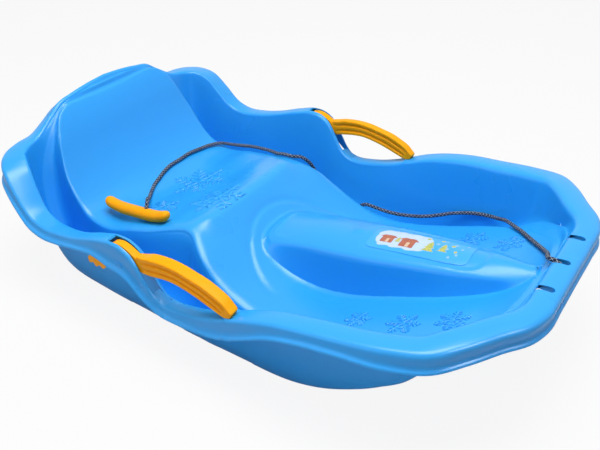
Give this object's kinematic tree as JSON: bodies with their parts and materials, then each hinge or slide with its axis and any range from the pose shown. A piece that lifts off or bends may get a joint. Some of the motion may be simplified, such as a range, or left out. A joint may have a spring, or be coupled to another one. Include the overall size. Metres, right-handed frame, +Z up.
{
  "type": "snow sled",
  "caption": "Moulded plastic toboggan with bucket seat, footrests, two pull-up brake levers and a tow cord with a grip.",
  "frame": {"origin": "on the ground under the middle of the sled, at the centre of its footprint", "axes": "+X the way the sled travels, +Y the rider's left, +Z up"},
  "size_m": [0.7743, 0.492, 0.2338],
  "materials": {
    "hull_plastic": "glossy moulded",
    "lever_plastic": "semi-gloss moulded",
    "pin_steel": "plain",
    "cord_braid": "braided",
    "label_film": "printed film"
  },
  "bodies": {
    "sled": {"hull": "hull_plastic", "sticker": "label_film", "tow_cord": "cord_braid", "tow_handle": "lever_plastic", "handle_knot": "cord_braid", "bow_knot": "cord_braid"},
    "brake_left": {"brake_lever_left": "lever_plastic", "hinge_pin_left": "pin_steel"},
    "brake_right": {"brake_lever_right": "lever_plastic", "hinge_pin_right": "pin_steel"}
  },
  "joints": [
    {"name": "brake_left_hinge", "type": "hinge", "parent": "sled", "child": "brake_left", "pos_m": [-0.108, 0.229, 0.118], "axis": [0, -1, 0], "range_deg": [0, 50]},
    {"name": "brake_right_hinge", "type": "hinge", "parent": "sled", "child": "brake_right", "pos_m": [-0.108, -0.229, 0.118], "axis": [0, -1, 0], "range_deg": [0, 50]}
  ]
}
